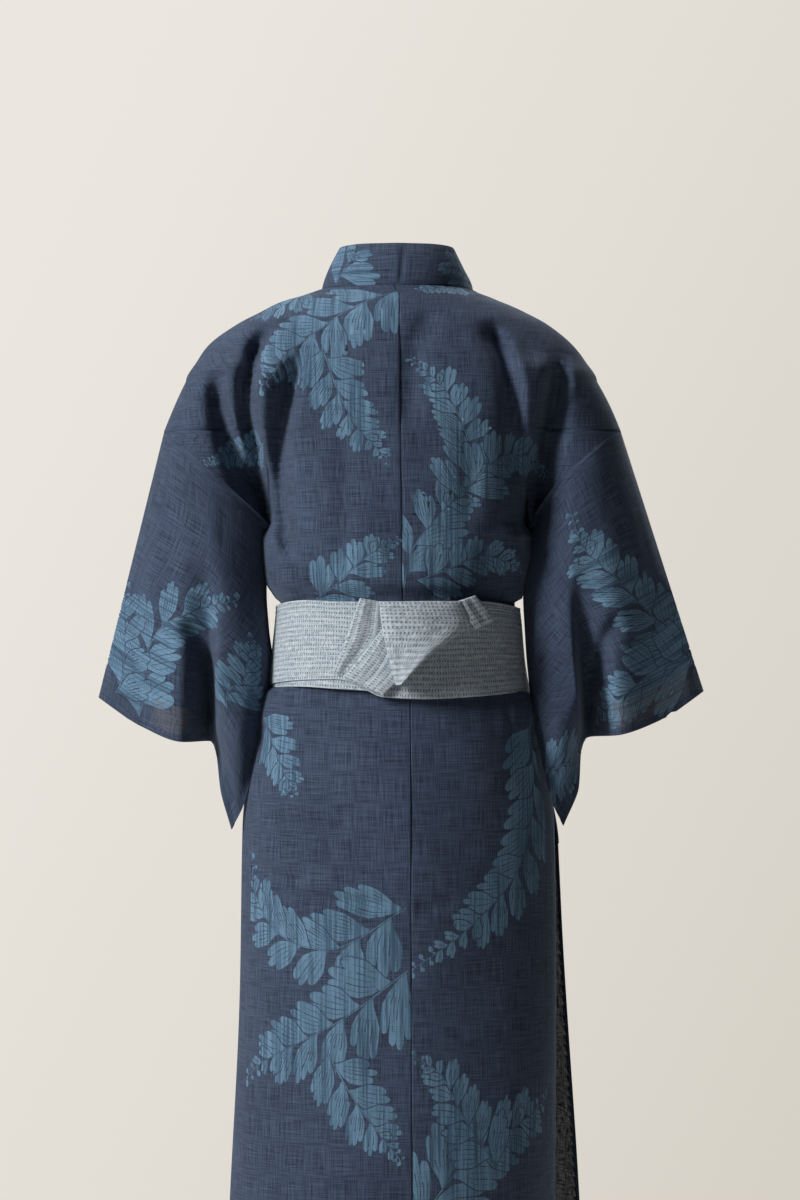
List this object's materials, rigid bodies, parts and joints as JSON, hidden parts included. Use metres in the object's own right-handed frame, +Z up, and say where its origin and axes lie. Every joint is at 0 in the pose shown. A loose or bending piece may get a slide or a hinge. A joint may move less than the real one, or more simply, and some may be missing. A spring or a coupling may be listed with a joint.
{
  "type": "yukata robe",
  "caption": "Men's ankle-length cotton yukata in its worn shape, left front over right, with wide square sleeves and a knotted flat belt.",
  "frame": {"origin": "the middle of the shoulder line, where the wearer carries the garment, on the centre line at 1.45 m above the floor that the wearer stands on", "axes": "+Z up, +X to the wearer's left, +Y to the wearer's back"},
  "size_m": [0.6684, 0.3202, 1.4511],
  "materials": {
    "yukata_cotton": "plain-woven slubbed cotton, matt, dark indigo with a paler leaf print",
    "obi_cotton": "firm ribbed cotton weave, matt, pale grey-blue"
  },
  "bodies": {
    "root": {"body_left": "yukata_cotton", "body_right": "yukata_cotton", "okumi_left": "yukata_cotton", "okumi_right": "yukata_cotton", "sleeve_left": "yukata_cotton", "sleeve_right": "yukata_cotton", "collar": "yukata_cotton", "obi_inner_turn": "obi_cotton", "obi_wrap": "obi_cotton", "obi_knot_loop": "obi_cotton", "obi_knot_band": "obi_cotton", "obi_knot_fold": "obi_cotton", "obi_knot_tail": "obi_cotton"}
  },
  "joints": []
}
